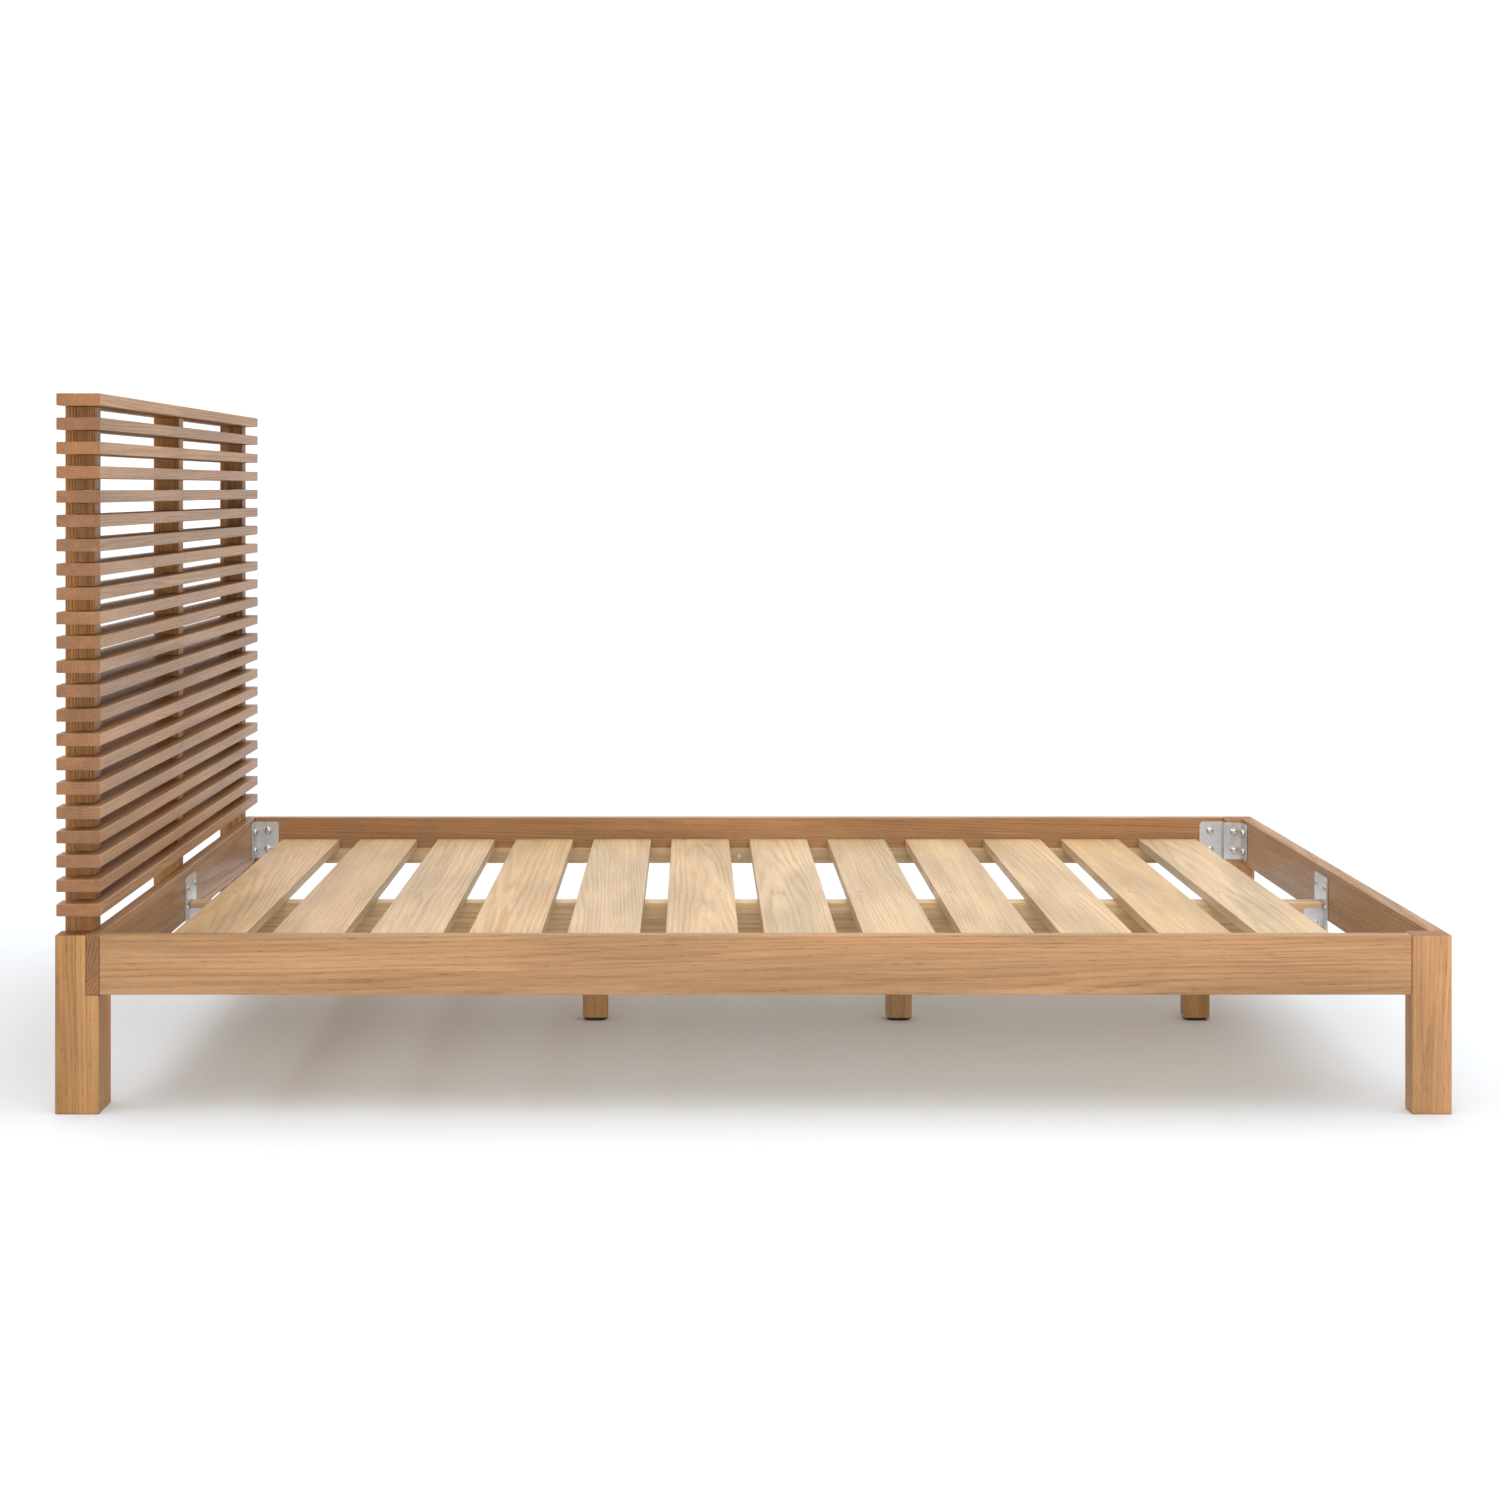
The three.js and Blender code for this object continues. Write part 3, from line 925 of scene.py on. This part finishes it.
# %% [markdown]
# ## Bolts in the corner brackets
#
# Each corner is held by bolts through both arms of its bracket, in two rows. Their places are
# worked out from the brackets themselves, so they stay right if a bracket is made larger.

# %% Bracket bolts
GAP = 0.0003  # between pieces that touch
TO_HEAD, TO_FOOT = (-1, 0, 0), (1, 0, 0)
TIP_TO_BOLT = 0.022  # from the free end of a bracket's arm
RIM_TO_BOLT = 0.019  # from its upper rim, and from its lower


def from_middle(node_name):
    """How near a piece comes to the bed's middle line, and how far out it reaches."""
    start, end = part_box(node_name)
    return sorted((abs(start.y), abs(end.y)))


bracket_spots = []
for side, sign in SIDES.items():
    head_start, head_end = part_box(f"head_corner_bracket_{side}")
    foot_start, foot_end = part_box(f"foot_corner_bracket_{side}")
    head_tip, rail_face = from_middle(f"head_corner_bracket_{side}")
    foot_tip = from_middle(f"foot_corner_bracket_{side}")[0]
    leg_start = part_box(f"foot_leg_{side}")[0].x
    on_leg = from_middle(f"foot_leg_{side}")[0] - GAP - PLATE_THICK
    on_rail = rail_face - PLATE_THICK
    inward = (0, -sign, 0)
    seats = (
        (head_start.x + PLATE_THICK, head_tip + TIP_TO_BOLT, TO_FOOT),
        (head_end.x - TIP_TO_BOLT, on_rail, inward),
        (foot_start.x + TIP_TO_BOLT, on_rail, inward),
        ((leg_start + foot_end.x) / 2, on_leg, inward),
        (foot_end.x - PLATE_THICK, foot_tip + TIP_TO_BOLT, TO_HEAD),
    )
    for height in (head_start.z + RIM_TO_BOLT, head_end.z - RIM_TO_BOLT):
        for along, out, facing in seats:
            bracket_spots.append((Vector((along, sign * out, height)), facing))
fasten(WASHER, bracket_spots, "bracket_washers")
fasten(BOLT, bracket_spots, "bracket_bolts", lift=WASHER_THICK)

# %% Hanger screws
RIM_TO_SCREW = 0.020
CHEEK_SCREWS = (0.014, 0.030)  # how far each is from the hanger's back plate
CHEEK_SCREW_RISE = 0.026  # above the beam's underside

beam_start, beam_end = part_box("centre_beam")
lowest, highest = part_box("beam_hanger_head")
cheek = beam_end.y + GAP + PLATE_THICK
flange = (cheek + highest.y) / 2
rows = (lowest.z + RIM_TO_SCREW, (lowest.z + highest.z) / 2, highest.z - RIM_TO_SCREW)
backs = ((lowest.x + PLATE_THICK, 1), (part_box("beam_hanger_foot")[1].x - PLATE_THICK, -1))
hanger_spots = []
for sign in SIDES.values():
    for height in rows:
        for back, away in backs:
            hanger_spots.append((Vector((back, sign * flange, height)), (away, 0, 0)))
    for reach in CHEEK_SCREWS:
        for back, away in backs:
            spot = Vector((back + away * reach, sign * cheek, beam_start.z + CHEEK_SCREW_RISE))
            hanger_spots.append((spot, (0, sign, 0)))
fasten(PLATE_SCREW, hanger_spots, "hanger_screws")

# %% [markdown]
# ## Countersinks
#
# The deck slats are screwed down at both ends and to the beam between them. A screw head that
# stood up would catch the mattress, so each hole is countersunk: a cone is taken out of the
# board, and the head lies in it just under the surface. The headboard's slats are held the
# same way, with one screw through the back of each post into every slat that crosses it. The
# ledgers are screwed sideways into the rails.

# %% Countersinking
SUNK = -0.0002  # a head lies this far below the wood
CONE_TIP, CONE_MOUTH, CONE_DEPTH = 0.0018, 0.0050, 0.0036
CONE_PROUD = 0.0004  # it stands this far out of the wood, for a clean cut


def countersink(piece, spots):
    """Cuts a cone at each spot, a little wider and deeper than the screw's head."""
    select_only()
    bpy.ops.mesh.primitive_cone_add(vertices=24, radius1=CONE_TIP, radius2=CONE_MOUTH,
                                    depth=CONE_DEPTH,
                                    location=(0, 0, CONE_PROUD - CONE_DEPTH / 2))
    cone = bpy.context.object
    bpy.ops.object.transform_apply(location=True, rotation=False, scale=False)
    carve(piece, copies(cone, spots, "countersinks"))
    bpy.data.objects.remove(cone, do_unlink=True)


print(f"A countersink is {2000 * CONE_MOUTH:.0f} mm wide at its mouth.")

# %% Screws in the deck
UP = (0, 0, 1)
PAIR = 0.035  # the two screws of a pair are this far from the slat's middle
STAGGER = 0.010  # and over the beam this far from its middle line

ledger_inside = from_middle("ledger_right")[0]
deck_spots = []
for slat in DECK_SLATS:
    start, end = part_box(slat)
    centre = (start.x + end.x) / 2
    on_ledger = (ledger_inside + end.y) / 2
    spots = []
    for offset in (-PAIR, PAIR):
        for across in (-on_ledger, on_ledger, math.copysign(STAGGER, offset)):
            spots.append((Vector((centre + offset, across, end.z)), UP))
    countersink(bpy.data.objects[slat + "_board"], spots)
    deck_spots += spots
fasten(SLAT_SCREW, deck_spots, "deck_slat_screws", lift=SUNK)

# %% Screws in the posts and the ledgers
post_spots = []
for post in ("right", "middle", "left"):
    start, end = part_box(f"headboard_post_{post}")
    spots = []
    for slat in SLATS[1:]:
        below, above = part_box(slat)
        height = (below.z + above.z) / 2
        spots.append((Vector((start.x, (start.y + end.y) / 2, height)), TO_HEAD))
    countersink(bpy.data.objects[f"headboard_post_{post}_board"], spots)
    post_spots += spots
fasten(SLAT_SCREW, post_spots, "post_screws", lift=SUNK)

LEDGER_SCREWS = 7
LEDGER_MARGIN = 0.060  # from a ledger's end to its first screw

ledger_spots = []
for side, sign in SIDES.items():
    start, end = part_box(f"ledger_{side}")
    step = (end.x - start.x - 2 * LEDGER_MARGIN) / (LEDGER_SCREWS - 1)
    spots = []
    for number in range(LEDGER_SCREWS):
        along = start.x + LEDGER_MARGIN + number * step
        place = Vector((along, sign * ledger_inside, (start.z + end.z) / 2))
        spots.append((place, (0, -sign, 0)))
    countersink(bpy.data.objects[f"ledger_{side}_board"], spots)
    ledger_spots += spots
fasten(SLAT_SCREW, ledger_spots, "ledger_screws", lift=SUNK)

# %% [markdown]
# ## Braces on the centre legs
#
# A centre leg is pushed sideways whenever someone drops on to the bed, so each is held to the
# beam by two small angle braces. A brace starts as the corner of the angle and its two arms are
# extruded from that. It is thinner sheet than the corner brackets, and four screws hold it.

# %% One brace
BRACE_THICK, BRACE_ARM, BRACE_WIDTH = 0.0025, 0.036, 0.030


def brace(corner, away):
    """An angle whose arms run away from the leg and down it."""
    select_only()
    half = BRACE_THICK / 2
    bpy.ops.mesh.primitive_cube_add(size=1, location=(away * half, 0, -half))
    piece = bpy.context.object
    piece.scale = (BRACE_THICK, BRACE_WIDTH, BRACE_THICK)
    bpy.ops.object.transform_apply(location=True, rotation=False, scale=True)
    for way in (Vector((away, 0, 0)), Vector((0, 0, -1))):
        edit_parts(piece, "FACE", lambda face: face.normal.dot(way) > 0.99
                   and abs(face.calc_center_median().x) < 2 * BRACE_THICK
                   and face.calc_center_median().z > -2 * BRACE_THICK)
        draw_out(way * (BRACE_ARM - BRACE_THICK))
        bpy.ops.object.mode_set(mode="OBJECT")
    round_corners(piece, BRACE_THICK, 0.006, segments=5)
    piece.data.transform(Matrix.Translation(corner))
    return piece


print(f"A brace's arms are {BRACE_ARM * 1000:.0f} mm long.")

# %% Braces in place
ALONG_ARM, ASIDE = 0.024, 0.008  # a screw's place on an arm, from the corner and the middle
TOUCH = 0.0001  # a brace clears the wood by this


def join(pieces, name):
    select_only(*pieces)
    bpy.ops.object.join()
    joined = bpy.context.view_layer.objects.active
    joined.name = name
    return joined


brace_spots = []
braces = []
for leg in CENTRE_LEGS:
    start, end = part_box(leg)
    for away, face in ((-1, start.x), (1, end.x)):
        corner = Vector((face + away * TOUCH, 0, beam_start.z - TOUCH))
        braces.append(brace(corner, away))
        for across in (-ASIDE, ASIDE):
            on_beam = corner + Vector((away * ALONG_ARM, across, -BRACE_THICK))
            on_leg = corner + Vector((away * BRACE_THICK, across, -ALONG_ARM))
            brace_spots.append((on_beam, (0, 0, -1)))
            brace_spots.append((on_leg, (away, 0, 0)))
leg_braces = join(braces, "leg_braces")
leg_braces.data.materials.clear()
leg_braces.data.materials.append(PLATE_ZINC)
ease(leg_braces, 0.0004, segments=2)
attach(leg_braces, "bed_frame")
fasten(PLATE_SCREW, brace_spots, "brace_screws")

# %% [markdown]
# ## Levelling feet
#
# Floors are never flat, so each centre leg stands on a foot that screws in and out. The pad is
# a nylon disc, black because it shows no dirt, and it is dished underneath so that its rim
# bears. The stud's thread is turned here as a stack of fine grooves: at this size that looks
# the same as a true spiral, and the foot needs no matching turn. A steel insert with a collar,
# let into the leg, gives the thread something harder than wood to run in.

# %% The pad
PAD_RADIUS, PAD_HEIGHT, PAD_RIM, PAD_DISH = 0.021, 0.005, 0.004, 0.0008


def nylon():
    material = bpy.data.materials.new("black_nylon")
    material.use_nodes = True
    tree = material.node_tree
    finish = tree.nodes["Principled BSDF"]
    finish.inputs["Base Color"].default_value = (0.018, 0.018, 0.019, 1)
    place = node(tree, "ShaderNodeTexCoord").outputs["Object"]
    graining = grain_noise(tree, place, 900, 900)
    plug(tree, finish.inputs["Roughness"], sums(tree, "MULTIPLY_ADD", graining, 0.12, 0.44))
    return material


BLACK_NYLON = nylon()


def pad(name):
    """A disc, dished underneath and rounded at its rims."""
    piece = lathe(name, PAD_RADIUS, PAD_HEIGHT, segments=48)
    flat_face(piece, 0)
    bpy.ops.mesh.inset(thickness=PAD_RIM)
    bpy.ops.transform.translate(value=(0, 0, PAD_DISH))
    bpy.ops.object.mode_set(mode="OBJECT")
    ease(piece, 0.0011)
    finish_fitting(piece, BLACK_NYLON, 35)
    return piece


print(f"A pad is {2000 * PAD_RADIUS:.0f} mm across.")

# %% The threaded stud
STUD_RADIUS, STUD_TOP, THREAD_PITCH = 0.004, 0.040, 0.00125
ROOT = STUD_RADIUS * 0.86  # how far in the grooves reach


def thread_outline():
    """Half of the stud's section, from its foot in the pad up to its tip."""
    outline = [(0, PAD_HEIGHT - 0.001), (ROOT, PAD_HEIGHT - 0.001)]
    height = PAD_HEIGHT
    while height < STUD_TOP - THREAD_PITCH:
        outline.append((ROOT, height + THREAD_PITCH * 0.1))
        outline.append((STUD_RADIUS, height + THREAD_PITCH * 0.45))
        outline.append((STUD_RADIUS, height + THREAD_PITCH * 0.6))
        height += THREAD_PITCH
    return outline + [(STUD_RADIUS * 0.8, STUD_TOP), (0, STUD_TOP)]


def stud(name):
    """The outline, spun about the foot's axis."""
    points = [(radius, 0, height) for radius, height in thread_outline()]
    mesh = bpy.data.meshes.new(name)
    mesh.from_pydata(points, [(number, number + 1) for number in range(len(points) - 1)], [])
    piece = bpy.data.objects.new(name, mesh)
    bpy.context.scene.collection.objects.link(piece)
    select_only(piece)
    bpy.ops.object.mode_set(mode="EDIT")
    bpy.ops.mesh.select_all(action="SELECT")
    bpy.ops.mesh.spin(steps=20, angle=math.radians(360), center=(0, 0, 0), axis=(0, 0, 1))
    bpy.ops.mesh.select_all(action="SELECT")
    bpy.ops.mesh.remove_doubles(threshold=1e-6)
    bpy.ops.mesh.normals_make_consistent(inside=False)
    bpy.ops.object.mode_set(mode="OBJECT")
    finish_fitting(piece, SCREW_ZINC, 30)
    return piece


print(len(thread_outline()), "points in a stud's outline")

# %% Inserts in the legs
COLLAR_RADIUS, COLLAR_THICK = 0.0095, 0.0012
under_legs = []
collars = []
for leg in CENTRE_LEGS:
    start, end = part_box(leg)
    under = Vector(((start.x + end.x) / 2, 0, start.z))
    seat = lathe("collar_seat", COLLAR_RADIUS + 0.0002, 2 * COLLAR_THICK, segments=32)
    seat.data.transform(Matrix.Translation(under - Vector((0, 0, COLLAR_THICK))))
    carve(bpy.data.objects[leg + "_board"], seat)
    ring = lathe("collar", COLLAR_RADIUS, COLLAR_THICK, segments=32)
    bore(ring, STUD_RADIUS + 0.00025, COLLAR_THICK)
    ring.data.transform(Matrix.Translation(under))
    under_legs.append(under)
    collars.append(ring)
inserts = join(collars, "leg_inserts")
inserts.data.materials.clear()
inserts.data.materials.append(SCREW_ZINC)
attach(inserts, "bed_frame")
print("Inserts let into the legs:", len(collars))

# %% Pads and studs in place
for number, under in enumerate(under_legs, start=1):
    for piece, slot in ((pad(f"foot_pad_{number}"), "foot_plastic"),
                        (stud(f"foot_stud_{number}"), "zinc_steel")):
        piece.data.transform(Matrix.Translation((under.x, 0, 0)))
        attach(piece, f"foot_screw_{number}")
        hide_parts(f"levelling_foot_{number}")
print("Levelling feet:", len(under_legs))

# %% [markdown]
# ## Clearing the bench
#
# The fasteners that the copies were made from still lie on the origin, so they go.

# %% Put the masters away
for master in (SLAT_SCREW, PLATE_SCREW, BOLT, WASHER):
    bpy.data.objects.remove(master, do_unlink=True)
print("Masters put away.")
